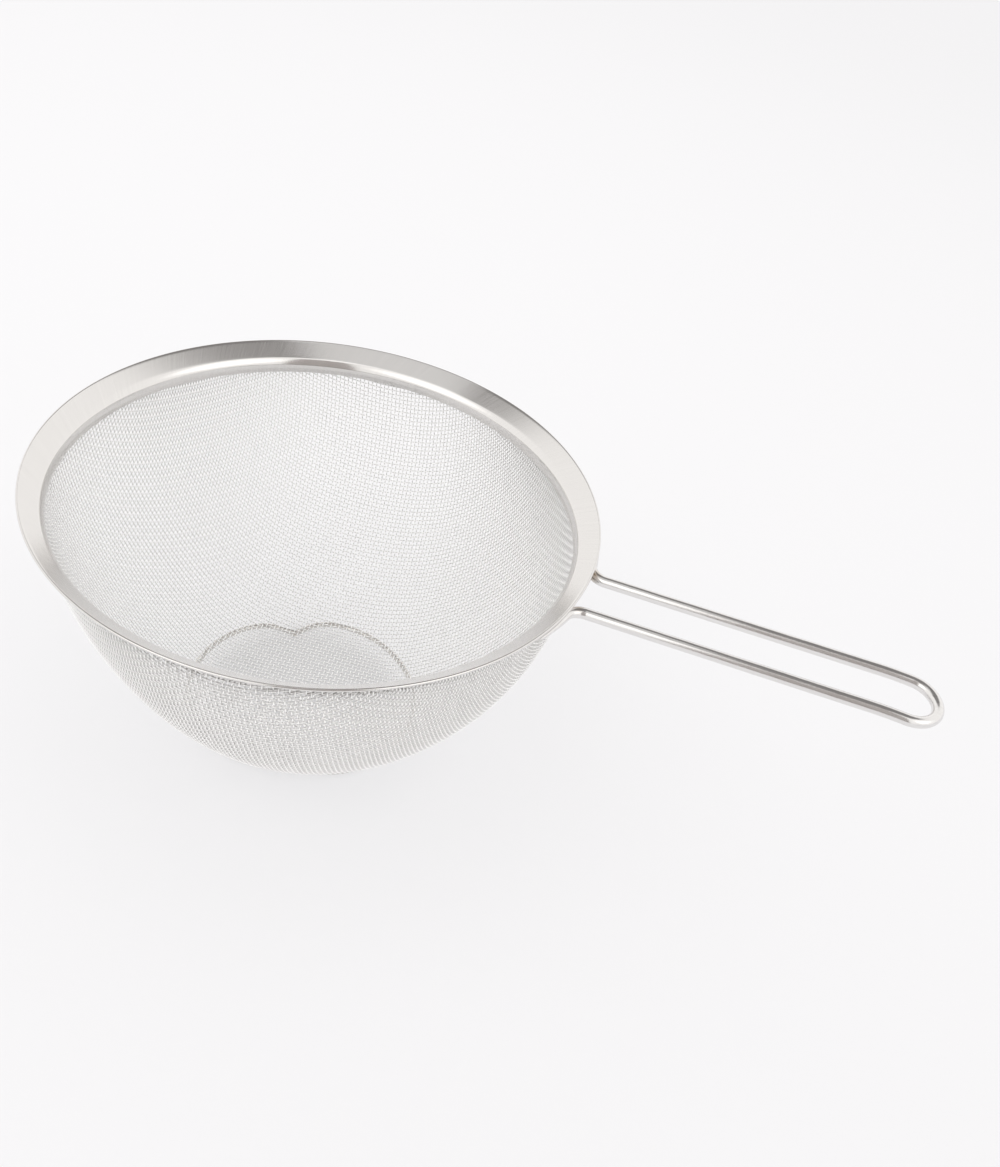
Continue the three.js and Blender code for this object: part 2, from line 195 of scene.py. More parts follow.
def add_piece(name, points, faces, material, nodes, sharp_degrees=40, bake_map=None, crest=None):
    """A piece from points in millimetres and a list of face arrays, each with one number of corners."""
    mesh = bpy.data.meshes.new(name)
    points = to_frame(points)
    corners = np.concatenate([part.ravel() for part in faces])
    sizes = np.concatenate([np.full(len(part), part.shape[1]) for part in faces])
    mesh.vertices.add(len(points))
    mesh.vertices.foreach_set("co", points.astype(np.float32).ravel())
    mesh.loops.add(len(corners))
    mesh.loops.foreach_set("vertex_index", corners.astype(np.int32))
    mesh.polygons.add(len(sizes))
    mesh.polygons.foreach_set("loop_start", (np.cumsum(sizes) - sizes).astype(np.int32))
    if bake_map is not None:
        layer = mesh.uv_layers.new(name="OFBake")
        layer.data.foreach_set("uv", bake_map[corners].astype(np.float32).ravel())
    mesh.update(calc_edges=True)
    mesh.validate()
    mesh.shade_smooth()
    if sharp_degrees:
        mesh.set_sharp_from_angle(angle=math.radians(sharp_degrees))
    if crest is not None:
        mesh.attributes.new("crest", "FLOAT", "POINT").data.foreach_set("value", crest.astype(np.float32))
    mesh.materials.append(material)
    piece = bpy.data.objects.new(name, mesh)
    bpy.context.scene.collection.objects.link(piece)
    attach(piece, "root")
    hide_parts(*nodes)
    return piece


def ring_offsets(sides):
    angles = 2 * math.pi * np.arange(sides) / sides
    return np.cos(angles), np.sin(angles)


def tube(path, hints, radius, sides):
    """Points and faces of a round tube along a path, with flat ends. Hints point roughly across the path."""
    along = unit(np.gradient(path, axis=0))
    across = unit(np.cross(along, hints))
    lift = np.cross(across, along)
    cosines, sines = ring_offsets(sides)
    radius = np.broadcast_to(radius, len(path))[:, None, None]
    spokes = lift[:, None] * cosines[None, :, None] + across[:, None] * sines[None, :, None]
    points = (path[:, None] + radius * spokes).reshape(-1, 3)
    start = np.arange(len(path) - 1)[:, None] * sides
    here = np.arange(sides)[None, :]
    there = (here + 1) % sides
    quads = np.stack([start + here, start + sides + here, start + sides + there, start + there], -1)
    last = (len(path) - 1) * sides
    ends = np.stack([np.arange(sides), last + np.arange(sides)[::-1]])
    return points, [quads.reshape(-1, 4), ends]


def lathe(profile, segments):
    """Points and faces of a closed profile of (radius, height) turned about the axis."""
    turns = 2 * math.pi * np.arange(segments) / segments
    points = np.stack([
        np.outer(np.cos(turns), profile[:, 0]),
        np.outer(np.sin(turns), profile[:, 0]),
        np.broadcast_to(profile[:, 1], (segments, len(profile))),
    ], -1).reshape(-1, 3)
    count = len(profile)
    ring = np.arange(segments)[:, None] * count
    following = (np.arange(segments)[:, None] + 1) % segments * count
    here = np.arange(count)[None, :]
    there = (here + 1) % count
    quads = np.stack([ring + here, following + here, following + there, ring + there], -1)
    return points, [quads.reshape(-1, 4)]


def offset_line(line, distance):
    along = unit(np.gradient(line, axis=0))
    return line + distance * np.stack([-along[:, 1], along[:, 0]], -1)


def rounded_corner(before, corner, after, radius, steps):
    towards_before = unit(before - corner)
    towards_after = unit(after - corner)
    half = math.acos(float(towards_before @ towards_after)) / 2
    centre = corner + unit(towards_before + towards_after) * radius / math.sin(half)
    start = corner + towards_before * radius / math.tan(half) - centre
    end = corner + towards_after * radius / math.tan(half) - centre
    turn = math.atan2(start[0] * end[1] - start[1] * end[0], float(start @ end))
    angles = turn * np.linspace(0, 1, steps + 1)
    return centre + np.stack([
        start[0] * np.cos(angles) - start[1] * np.sin(angles),
        start[0] * np.sin(angles) + start[1] * np.cos(angles),
    ], -1)


# Materials

def new_material(name):
    material = bpy.data.materials.new(name)
    material.use_nodes = True
    return material, material.node_tree.nodes, material.node_tree.links


def object_place(nodes):
    return nodes.new("ShaderNodeTexCoord").outputs["Object"]


def vector_math(nodes, links, operation, first, **settings):
    """The outputs of one vector node: settings are its second and third vectors and its scale."""
    node = nodes.new("ShaderNodeVectorMath")
    node.operation = operation
    links.new(first, node.inputs[0])
    for socket, value in zip(node.inputs[1:3], (settings.get("second"), settings.get("third"))):
        if isinstance(value, bpy.types.NodeSocket):
            links.new(value, socket)
        elif value is not None:
            socket.default_value = value
    if "scale" in settings:
        node.inputs["Scale"].default_value = settings["scale"]
    return node.outputs


def combine(nodes, links, operation, first, second):
    """The result of one math node on two sockets or numbers."""
    node = nodes.new("ShaderNodeMath")
    node.operation = operation
    for socket, value in zip(node.inputs, (first, second)):
        if isinstance(value, bpy.types.NodeSocket):
            links.new(value, socket)
        else:
            socket.default_value = value
    return node.outputs["Value"]


def smooth_step(nodes, links, value, start, end):
    """0 on the start's side and 1 on the end's side, with a smooth change between them."""
    step = nodes.new("ShaderNodeMapRange")
    step.interpolation_type = "SMOOTHSTEP"
    step.inputs["From Min"].default_value = start
    step.inputs["From Max"].default_value = end
    links.new(value, step.inputs["Value"])
    return step.outputs["Result"]


def colour_mix(nodes, links, factor, first, second):
    """A mix of two colours, each a socket or three numbers."""
    mix = nodes.new("ShaderNodeMix")
    mix.data_type = "RGBA"
    links.new(factor, mix.inputs["Factor"])
    for name, colour in (("A", first), ("B", second)):
        if isinstance(colour, bpy.types.NodeSocket):
            links.new(colour, mix.inputs[name])
        else:
            mix.inputs[name].default_value = (*colour, 1)
    return mix.outputs["Result"]


def from_axis(nodes, links):
    """The level vector from the bowl's axis to a place on a piece."""
    return vector_math(nodes, links, "MULTIPLY_ADD", object_place(nodes),
                       second=(1, 1, 0), third=(-AXIS_X / METRE, 0, 0))["Vector"]


def brushed_place(nodes, links, around, across, slant):
    """Places for streaks that are fine round the bowl's axis, long across it and a little slanted."""
    level = from_axis(nodes, links)
    radius = vector_math(nodes, links, "LENGTH", level)["Value"]
    heading = vector_math(nodes, links, "NORMALIZE", level)["Vector"]
    swirl = nodes.new("ShaderNodeVectorRotate")
    swirl.rotation_type = "Z_AXIS"
    links.new(heading, swirl.inputs["Vector"])
    links.new(combine(nodes, links, "MULTIPLY", radius, slant), swirl.inputs["Angle"])
    fine = vector_math(nodes, links, "SCALE", swirl.outputs["Vector"], scale=around)["Vector"]
    coarse = vector_math(nodes, links, "SCALE", object_place(nodes), scale=across)["Vector"]
    return vector_math(nodes, links, "ADD", fine, second=coarse)["Vector"]


def drawn_place(nodes, links, across, along):
    """Places for fine lines along the handle."""
    place = object_place(nodes)
    return vector_math(nodes, links, "MULTIPLY", place, second=(along, across, across))["Vector"]


def even_place(nodes, links, scale):
    """Places for a noise that is alike in every direction."""
    return vector_math(nodes, links, "SCALE", object_place(nodes), scale=scale)["Vector"]


def metal(name, dark, light, roughness, bump, find_place, metallic=1.0, **place_sizes):
    """Bare metal whose tone, gloss and surface vary with one noise, read at the places of find_place."""
    material, nodes, links = new_material(name)
    shader = nodes["Principled BSDF"]
    shader.inputs["Metallic"].default_value = metallic
    noise = nodes.new("ShaderNodeTexNoise")
    noise.inputs["Scale"].default_value = 1.0
    noise.inputs["Detail"].default_value = 4.0
    spread = nodes.new("ShaderNodeMapRange")
    spread.inputs["From Min"].default_value = 0.3
    spread.inputs["From Max"].default_value = 0.7
    gloss = nodes.new("ShaderNodeMapRange")
    gloss.inputs["To Min"].default_value = roughness[0]
    gloss.inputs["To Max"].default_value = roughness[1]
    relief = nodes.new("ShaderNodeBump")
    relief.inputs["Strength"].default_value = bump
    relief.inputs["Distance"].default_value = 0.1 / METRE
    links.new(find_place(nodes, links, **place_sizes), noise.inputs["Vector"])
    links.new(noise.outputs["Fac"], spread.inputs["Value"])
    links.new(spread.outputs["Result"], gloss.inputs["Value"])
    links.new(spread.outputs["Result"], relief.inputs["Height"])
    tone = colour_mix(nodes, links, spread.outputs["Result"], dark, light)
    links.new(tone, shader.inputs["Base Color"])
    links.new(gloss.outputs["Result"], shader.inputs["Roughness"])
    links.new(relief.outputs["Normal"], shader.inputs["Normal"])
    return material


def shader_parts(material):
    """A metal's nodes and links, and its shader."""
    nodes = material.node_tree.nodes
    return nodes, material.node_tree.links, nodes["Principled BSDF"]


def source_of(socket):
    """What an input takes its value from."""
    return socket.links[0].from_socket


def brush_round(material, strength, inner, outer, fade, polish):
    """Draws a metal's reflections out round the axis between two radii, and leaves it polished elsewhere."""
    nodes, links, shader = shader_parts(material)
    tangent = nodes.new("ShaderNodeTangent")
    tangent.direction_type = "RADIAL"
    tangent.axis = "Z"
    radius = vector_math(nodes, links, "LENGTH", from_axis(nodes, links))["Value"]
    past_inner = smooth_step(nodes, links, radius, (inner - fade) / METRE, (inner + fade) / METRE)
    before_outer = smooth_step(nodes, links, radius, (outer + fade) / METRE, (outer - fade) / METRE)
    within = combine(nodes, links, "MULTIPLY", past_inner, before_outer)
    satin = combine(nodes, links, "SUBTRACT", source_of(shader.inputs["Roughness"]), polish)
    roughness = combine(nodes, links, "ADD", combine(nodes, links, "MULTIPLY", satin, within), polish)
    shader.inputs["Anisotropic"].default_value = strength
    links.new(tangent.outputs["Tangent"], shader.inputs["Tangent"])
    links.new(roughness, shader.inputs["Roughness"])


def tint_near(material, centre, reach, colour):
    """Mixes a colour into a metal's tone near a point and the one that mirrors it across the handle."""
    nodes, links, shader = shader_parts(material)
    folded = vector_math(nodes, links, "ABSOLUTE", object_place(nodes))["Vector"]
    away = vector_math(nodes, links, "DISTANCE", folded, second=tuple(to_frame(centre)))["Value"]
    near = smooth_step(nodes, links, away, reach / METRE, 0.0)
    tinted = colour_mix(nodes, links, near, source_of(shader.inputs["Base Color"]), colour)
    links.new(tinted, shader.inputs["Base Color"])


def paint_hollow_shade(material, colour, fully_shaded, bright):
    """Paints shade into a woven wire's tone where it dips under the wires that cross it: a darker colour,
    mixed in fully up to one crest height and not at all past another.
    """
    nodes, links, shader = shader_parts(material)
    crest = nodes.new("ShaderNodeAttribute")
    crest.attribute_name = "crest"
    proud = smooth_step(nodes, links, crest.outputs["Fac"], fully_shaded, bright)
    mixed = colour_mix(nodes, links, proud, colour, source_of(shader.inputs["Base Color"]))
    links.new(mixed, shader.inputs["Base Color"])


sheet_metal = metal(
    "rim_sheet", dark=(0.745, 0.73, 0.715), light=(0.79, 0.775, 0.76), roughness=(0.14, 0.19), bump=0.02,
    find_place=brushed_place, around=320, across=60, slant=6.5)
brush_round(
    sheet_metal, strength=0.6, inner=LIP_TOP_RADIUS + POLISHED_BEND, outer=RIM_RADIUS - POLISHED_HEM,
    fade=0.6, polish=0.1)
# The fine wires scatter light among themselves, so they count as partly diffuse
woven_metal = metal(
    "mesh_wire", dark=(0.95, 0.945, 0.94), light=(0.985, 0.98, 0.975), roughness=(0.3, 0.38), bump=0.05,
    find_place=even_place, metallic=0.3, scale=900)
# Painted shade: the wires turn darker where they dip under the wires that cross them, standing in for the
# shadow there
paint_hollow_shade(woven_metal, colour=(0.6, 0.595, 0.59), fully_shaded=0.1, bright=0.75)
handle_metal = metal(
    "handle_wire", dark=(0.76, 0.745, 0.735), light=(0.82, 0.81, 0.80), roughness=(0.13, 0.19), bump=0.1,
    find_place=drawn_place, across=1600, along=40)
tint_near(handle_metal, centre=HEAT_TINT_CENTRE, reach=HEAT_TINT_REACH, colour=(0.55, 0.48, 0.4))
foot_metal = metal(
    "foot_wire", dark=(0.7, 0.68, 0.65), light=(0.82, 0.8, 0.77), roughness=(0.12, 0.2), bump=0.1,
    find_place=even_place, scale=600)
weld_metal = metal(
    "weld", dark=(0.68, 0.64, 0.59), light=(0.8, 0.77, 0.73), roughness=(0.3, 0.45), bump=0.4,
    find_place=even_place, scale=1400)


# Rim

LIP_BEND = rounded_corner(LIP_EDGE, CORNER, FLANGE_START, BEND_RADIUS, LIP_BEND_STEPS)


def build_rim():
    """The pressed sheet from the lip's edge, up over the flange, to the tongue folded back under the hem."""
    fold = np.linspace(0, math.pi, FOLD_POINTS)
    spokes = np.cos(fold)[:, None] * UPWARD - np.sin(fold)[:, None] * INWARD
    lip = np.linspace(LIP_EDGE, LIP_BEND[0], LIP_POINTS)[:-1]
    flange = np.linspace(LIP_BEND[-1], FLANGE_START, FLANGE_POINTS)[1:-1]
    hem = FOLD_CENTRE + FOLD_RADIUS * spokes
    tongue = np.linspace(hem[-1], hem[-1] + INWARD * HEM_RETURN, TONGUE_POINTS)[1:]
    middle = np.concatenate([lip, LIP_BEND, flange, hem, tongue])
    outline = np.concatenate([offset_line(middle, -SHEET / 2), offset_line(middle, SHEET / 2)[::-1]])
    points, faces = lathe(outline, RIM_SEGMENTS)
    add_piece("rim_ring", points, faces, sheet_metal, ["rim"])


# Woven bowl

def wall_profile():
    """The cloth's middle line from the bottom's centre up past the collar, and distances along it."""
    floor = CLOTH_BOTTOM + CLOTH / 2
    lip = np.concatenate([np.linspace(LIP_EDGE, LIP_BEND[0], SEAM_POINTS)[:-1], LIP_BEND])
    # The cloth stops short of the last points of the lip's bend
    collar = offset_line(lip, -SHEET / 2 - SEAT_GAP - CLOTH / 2)[:-BARE_BEND_POINTS]
    controls = np.array([
        (BOTTOM_RADIUS, floor),
        (BOTTOM_RADIUS + BOTTOM_RUN, floor),
        collar[0] - (WALL_TAPER, WALL_RUN),
        collar[0],
    ])
    steps = np.linspace(0, 1, WALL_POINTS)[:, None]
    wall = ((1 - steps) ** 3 * controls[0] + 3 * (1 - steps) ** 2 * steps * controls[1]
            + 3 * (1 - steps) * steps ** 2 * controls[2] + steps ** 3 * controls[3])
    beyond = collar[-1] + PITCHES_PAST_EDGE * PITCH_ACROSS * unit(collar[-1] - collar[-2])
    line = np.concatenate([[(0, floor)], wall, collar[1:], [beyond]])
    distance = np.concatenate([[0], np.cumsum(np.linalg.norm(np.diff(line, axis=0), axis=1))])
    return line, distance


WALL_LINE, WALL_DISTANCE = wall_profile()
CLOTH_EDGE = WALL_DISTANCE[-2]
WALL_SLOPE = unit(np.gradient(WALL_LINE, axis=0))


def on_wall(flat):
    """Points on the bowl for places on the cloth, measured along it from the bottom's centre."""
    distance = np.hypot(flat[..., 0], flat[..., 1])
    share = np.interp(distance, WALL_DISTANCE, WALL_LINE[:, 0]) / np.maximum(distance, TINY)
    height = np.interp(distance, WALL_DISTANCE, WALL_LINE[:, 1])
    return np.stack([flat[..., 0] * share, flat[..., 1] * share, height], -1)


def wall_normals(flat):
    """Outward directions of the bowl at places on the cloth."""
    distance = np.hypot(flat[..., 0], flat[..., 1])
    out = np.interp(distance, WALL_DISTANCE, WALL_SLOPE[:, 1])
    down = np.interp(distance, WALL_DISTANCE, WALL_SLOPE[:, 0])
    heading = flat / np.maximum(distance, TINY)[..., None]
    return unit(np.stack([heading[..., 0] * out, heading[..., 1] * out, -down], -1))


def misses(guess, anchors):
    """By how much, in squares, each guessed crossing misses its pitches from its two forerunners."""
    return ((on_wall(guess)[:, None] - anchors) ** 2).sum(-1) - PITCHES ** 2


def solve_crossings(guess, anchors):
    """Guessed crossings mended by straight-line steps. Past the cloth's edge a guess can have no answer."""
    nudge = 1e-4
    rounds = 10
    with np.errstate(divide="ignore", invalid="ignore"):
        for _ in range(rounds):
            miss = misses(guess, anchors)
            slope_u = (misses(guess + (nudge, 0), anchors) - miss) / nudge
            slope_v = (misses(guess + (0, nudge), anchors) - miss) / nudge
            scale = slope_u[:, 0] * slope_v[:, 1] - slope_u[:, 1] * slope_v[:, 0]
            step_u = (miss[:, 0] * slope_v[:, 1] - miss[:, 1] * slope_v[:, 0]) / scale
            step_v = (miss[:, 1] * slope_u[:, 0] - miss[:, 0] * slope_u[:, 1]) / scale
            guess = guess - np.stack([step_u, step_v], -1)
    return guess


def drape_quarter():
    """Crossings of the two sets of wires on a quarter of the bowl, each one pitch from its forerunners."""
    count = int(WALL_DISTANCE[-1] / PITCHES.min())
    numbers = np.arange(count + 1.0)
    flat = np.full((count + 1, count + 1, 2), np.nan)
    flat[:, 0] = np.stack([numbers * PITCH_ALONG, np.zeros(count + 1)], -1)
    flat[0, :] = np.stack([np.zeros(count + 1), numbers * PITCH_ACROSS], -1)
    flat[np.hypot(flat[..., 0], flat[..., 1]) > WALL_DISTANCE[-1]] = np.nan
    for diagonal in range(2, 2 * count + 1):
        rows = np.arange(max(1, diagonal - count), min(count, diagonal - 1) + 1)
        columns = diagonal - rows
        known = np.isfinite(flat[rows, columns - 1, 0] + flat[rows - 1, columns, 0])
        rows = rows[known]
        columns = columns[known]
        left = flat[rows, columns - 1]
        below = flat[rows - 1, columns]
        anchors = np.stack([on_wall(left), on_wall(below)], 1)
        solved = solve_crossings(left + below - flat[rows - 1, columns - 1], anchors)
        inside = np.hypot(solved[:, 0], solved[:, 1]) < WALL_DISTANCE[-1]
        flat[rows[inside], columns[inside]] = solved[inside]
    return flat


def drape():
    """All crossings, indexed from -count to count both ways, with the weave's turn about the axis."""
    quarter = drape_quarter()
    count = len(quarter) - 1
    flat = np.full((2 * count + 1, 2 * count + 1, 2), np.nan)
    rows, columns = np.nonzero(np.isfinite(quarter[..., 0]))
    places = quarter[rows, columns]
    for side_u in (1, -1):
        for side_v in (1, -1):
            flat[side_u * rows + count, side_v * columns + count] = places * (side_u, side_v)
    cosine, sine = math.cos(WEAVE_TURN), math.sin(WEAVE_TURN)
    return flat @ np.array(((cosine, sine), (-sine, cosine))), count


def wire_stations(line):
    """Places along one wire, in crossings from its first, cut where the cloth ends; None for a short wire."""
    distance = np.hypot(line[:, 0], line[:, 1])
    within = np.nonzero(distance <= CLOTH_EDGE)[0]
    if len(within) < FEWEST_CROSSINGS:
        return None
    first, last = within[0], within[-1]
    start, end = float(first), float(last)
    if first > 0 and np.isfinite(distance[first - 1]):
        start -= (CLOTH_EDGE - distance[first]) / (distance[first - 1] - distance[first])
    if last + 1 < len(line) and np.isfinite(distance[last + 1]):
        end += (CLOTH_EDGE - distance[last]) / (distance[last + 1] - distance[last])
    steps = np.arange(math.floor(start * RINGS_PER_PITCH) + 1, math.ceil(end * RINGS_PER_PITCH))
    return np.concatenate([[start], steps / RINGS_PER_PITCH, [end]])


def wire_path(line, stations, rise):
    """The crimped middle line of one wire and the cloth's normals along it."""
    before = np.clip(np.floor(stations).astype(int), 0, len(line) - 2)
    share = (stations - before)[:, None]
    following = np.where(np.isfinite(line[before + 1]), line[before + 1], line[before])
    here = np.where(np.isfinite(line[before]), line[before], line[before + 1])
    flat = here * (1 - share) + following * share
    normals = wall_normals(flat)
    path = on_wall(flat) + normals * rise[:, None]
    height = (path[:, 2] - CLOTH_BOTTOM) / (LIP_EDGE[1] - CLOTH_BOTTOM)
    bulge = LEAN * np.sin(math.pi * np.clip(height, 0, 1))
    path[:, 0] += bulge * math.cos(LEAN_TOWARDS)
    path[:, 1] += bulge * math.sin(LEAN_TOWARDS)
    return path, normals


def crest_heights(rise):
    """How far each point round a wire stands out on its own face of the cloth: 1 at the proudest."""
    turned = WIRE / 2 * ring_offsets(WIRE_SIDES)[0]
    heights = (rise[:, None] + turned) * np.sign(turned)
    return heights.ravel() / (CRIMP_ACROSS + WIRE / 2)


def build_weave():
    """Every wire of the cloth, with the wires of each set shared out over pieces of about the same size."""
    flat, count = drape()
    for family, crimp in (("along", CRIMP_ALONG), ("across", CRIMP_ACROSS)):
        tubes = []
        for index in range(2 * count + 1):
            line = flat[:, index] if family == "along" else flat[index]
            stations = wire_stations(line)
            if stations is None:
                continue
            side = (-1) ** (index + (family == "across"))
            rise = side * crimp * np.cos(math.pi * stations)
            path, normals = wire_path(line, stations, rise)
            tubes.append((*tube(path, normals, WIRE / 2, WIRE_SIDES), crest_heights(rise)))
        sizes = np.cumsum([len(crest) for _, _, crest in tubes])
        shares = np.minimum(sizes * WIRE_PIECES // (sizes[-1] + 1), WIRE_PIECES - 1)
        for number in range(WIRE_PIECES):
            chosen = [wire for wire, share in zip(tubes, shares) if share == number]
            join_wires(f"mesh_wires_{family}_{number + 1}", chosen)


def join_wires(name, wires):
    """One piece of several wires, each with a strip of its own in the bake's map."""
    points, quads, ends, strips = [], [], [], []
    start = 0
    for number, (wire, (sides, caps), _) in enumerate(wires):
        rings = len(wire) // WIRE_SIDES
        points.append(wire)
        quads.append(sides + start)
        ends.append(caps + start)
        run = np.repeat(np.arange(rings) / (rings - 1), WIRE_SIDES)
        band = (number + np.tile(np.arange(WIRE_SIDES), rings) / WIRE_SIDES) / len(wires)
        strips.append(np.stack([run, band], -1))
        start += len(wire)
    faces = [np.concatenate(quads), np.concatenate(ends)]
    add_piece(name, np.concatenate(points), faces, woven_metal, ["mesh_bowl"],
              sharp_degrees=0, bake_map=np.concatenate(strips),
              crest=np.concatenate([crest for _, _, crest in wires]))


# Handle

def handle_path():
    """The wire's middle line from the near tail's end, round the loop, to the far tail's end."""
    tail_angles = MEETING + TAIL_LENGTH / TAIL_RADIUS * np.linspace(1, 0, TAIL_STEPS)
    tail = TAIL_RADIUS * np.stack([np.cos(tail_angles), -np.sin(tail_angles)], -1)
    bend_angles = math.pi + MEETING + (math.pi / 2 - MEETING) * np.linspace(0, 1, BEND_STEPS + 1)[1:]
    bend = np.stack([
        BEND_REACH + ROOT_BEND * np.cos(bend_angles),
        -BEND_AWAY - ROOT_BEND * np.sin(bend_angles),
    ], -1)
    leg_start = bend[-1, 0]
    along_leg = np.linspace(leg_start, LOOP_CENTRE, LEG_STEPS + 1)[1:-1]
    leg = np.stack([along_leg, np.full_like(along_leg, -LEG_OFFSET)], -1)
    loop_angles = np.linspace(-math.pi / 2, 0, LOOP_STEPS + 1)
    loop = np.stack([
        LOOP_CENTRE + LEG_OFFSET * np.cos(loop_angles),
        LEG_OFFSET * np.sin(loop_angles),
    ], -1)
    half = np.concatenate([tail, bend, leg, loop])
    plan = np.concatenate([half, (half * (1, -1))[-2::-1]])
    rise = HANDLE_RISE / (LOOP_CENTRE + LEG_OFFSET - leg_start)
    drop_start = LOOP_CENTRE - TIP_BEND
    drop = np.clip((plan[:, 0] - drop_start) / (TIP_BEND + LEG_OFFSET), 0, 1)
    height = TAIL_HEIGHT + rise * np.maximum(plan[:, 0] - leg_start, 0) - TIP_DROP * drop ** 2
    return np.column_stack([plan, height])


def build_handle():
    """The bent wire, whose tails are pressed flatter against the rim towards their ends."""
    path = handle_path()
    points, faces = tube(path, np.broadcast_to(UP, path.shape), HANDLE_WIRE / 2, HANDLE_SIDES)
    run = np.concatenate([[0], np.cumsum(np.linalg.norm(np.diff(path, axis=0), axis=1))])
    from_end = np.minimum(run, run[-1] - run)
    flattening = TAIL_FLATTENING * np.clip(1 - from_end / (TAIL_LENGTH + ROOT_BEND), 0, 1)
    heading = unit(path[:, :2])
    against_rim = np.column_stack([heading * UPWARD[0], np.full(len(path), UPWARD[1])])
    rings = points.reshape(len(path), HANDLE_SIDES, 3)
    depth = HANDLE_WIRE / 2 - ((rings - path[:, None]) * against_rim[:, None]).sum(-1)
    rings = rings + (flattening[:, None] * depth)[..., None] * against_rim[:, None]
    add_piece("handle_loop", rings.reshape(-1, 3), faces, handle_metal, ["handle"])


# Foot ring

def foot_radius_at(azimuth):
    """The foot ring's radius, which dips at its two kinks."""
    radius = np.full_like(azimuth, FOOT_RADIUS)
    for centre, width in (BACK_KINK, FRONT_KINK):
        away = (azimuth - centre + 180) % 360 - 180
        radius -= (FOOT_RADIUS - KINK_RADIUS) / (1 + (away / width) ** 2)
    return radius


def build_foot():
    """The foot's wire, whose two ends nearly meet in the back kink."""
    gap = math.degrees(END_GAP / KINK_RADIUS)
    azimuth = BACK_KINK[0] + np.linspace(gap / 2, 360 - gap / 2, FOOT_STEPS)
    radius = foot_radius_at(azimuth)
    angle = np.radians(azimuth)
    height = np.full_like(angle, FOOT_WIRE / 2)
    path = np.stack([radius * np.cos(angle), radius * np.sin(angle), height], -1)
    points, faces = tube(path, np.broadcast_to(UP, path.shape), FOOT_WIRE / 2, FOOT_SIDES)
    add_piece("foot_wire_ring", points, faces, foot_metal, ["foot_ring"])


# Welds

def build_fillet(name, node, side):
    """A bead of weld in the corner between a handle tail and the hem, rippled and thinner at its ends."""
    wire_radius = HANDLE_WIRE / 2
    middle = MEETING + TAIL_LENGTH / 2 / TAIL_RADIUS
    share = np.linspace(-1, 1, FILLET_STEPS)
    angles = side * middle + FILLET_LENGTH / 2 / TAIL_RADIUS * share
    out, height = (np.array((TAIL_RADIUS, TAIL_HEIGHT)) + UPWARD * wire_radius
                   + INWARD * (wire_radius - FILLET_BURIED))
    path = np.stack([out * np.cos(angles), out * np.sin(angles), np.full(FILLET_STEPS, height)], -1)
    swell = FILLET_LEG / 2 * np.sqrt(np.maximum(1 - share ** 2, FILLET_BLUNT))
    radius = swell * (1 + FILLET_RIPPLE * np.sin(share * FILLET_RIPPLES))
    points, faces = tube(path, np.broadcast_to(UP, path.shape), radius, FILLET_SIDES)
    add_piece(name, points, faces, weld_metal, [node])


def build_spot(name, node, azimuth):
    """A flattened spot of weld inside a kink of the foot ring."""
    half_height = FOOT_WIRE / 4
    radius = KINK_RADIUS - FOOT_WIRE / 2 - WELD_GAP - SPOT_WIDTH / 2
    top = CLOTH_BOTTOM - WELD_GAP
    polar = np.linspace(-math.pi / 2, math.pi / 2, SPOT_STEPS)
    angle = math.radians(azimuth)
    centre = np.array((radius * math.cos(angle), radius * math.sin(angle), top - half_height))
    path = centre + np.outer(half_height * np.sin(polar), UP)
    width = SPOT_WIDTH / 2 * np.maximum(np.cos(polar), SPOT_BLUNT)
    points, faces = tube(path, np.broadcast_to((1.0, 0, 0), path.shape), width, SPOT_SIDES)
    add_piece(name, points, faces, weld_metal, [node])


build_rim()
build_weave()
build_handle()
build_foot()
build_fillet("handle_weld_bead_near", "handle_weld_near", -1)
build_fillet("handle_weld_bead_far", "handle_weld_far", 1)
build_spot("foot_weld_spot_back", "foot_weld_back", BACK_KINK[0])
build_spot("foot_weld_spot_front", "foot_weld_front", FRONT_KINK[0])


# Camera

def camera_axes():
    """The right, up and forward directions of a camera that looks straight at the rim's middle."""
    back = np.array((
        math.sin(CAMERA_AZIMUTH) * math.cos(CAMERA_ELEVATION),
        -math.cos(CAMERA_AZIMUTH) * math.cos(CAMERA_ELEVATION),
        math.sin(CAMERA_ELEVATION),
    ))
    level = unit(np.cross(-back, UP))
    over = np.cross(level, -back)
    right = level * math.cos(CAMERA_ROLL) + over * math.sin(CAMERA_ROLL)
    up = over * math.cos(CAMERA_ROLL) - level * math.sin(CAMERA_ROLL)
    return right, up, -back


def add_camera():
    """A camera that is turned from the rim's middle so that the middle shows at its pixel."""
    axes = np.stack(camera_axes())
    rim_centre = np.array((AXIS_X, 0, RIM_HEIGHT)) / METRE
    ray = Vector((
        (RIM_CENTRE_PIXEL[0] - IMAGE_WIDTH / 2) / FOCAL_PIXELS,
        (IMAGE_HEIGHT / 2 - RIM_CENTRE_PIXEL[1]) / FOCAL_PIXELS,
        1,
    ))
    turn = np.array(Vector((0, 0, 1)).rotation_difference(ray.normalized()).to_matrix())
    right, up, forward = turn @ axes
    data = bpy.data.cameras.new("camera")
    data.sensor_width = SENSOR
    data.lens = FOCAL_PIXELS * SENSOR / IMAGE_HEIGHT
    data.clip_start = 0.01
    camera = bpy.data.objects.new("camera", data)
    bpy.context.scene.collection.objects.link(camera)
    place = Matrix(np.stack([right, up, -forward], -1).tolist()).to_4x4()
    place.translation = rim_centre - axes[2] * CAMERA_DISTANCE / METRE
    camera.matrix_world = place
    bpy.context.scene.camera = camera


add_camera()


# Floor and light

# Directions in the studio: level to the camera's right, and level away from the camera
RIGHTWARD = np.array((math.cos(CAMERA_AZIMUTH), math.sin(CAMERA_AZIMUTH), 0))
AWAY = np.array((-math.sin(CAMERA_AZIMUTH), math.cos(CAMERA_AZIMUTH), 0))


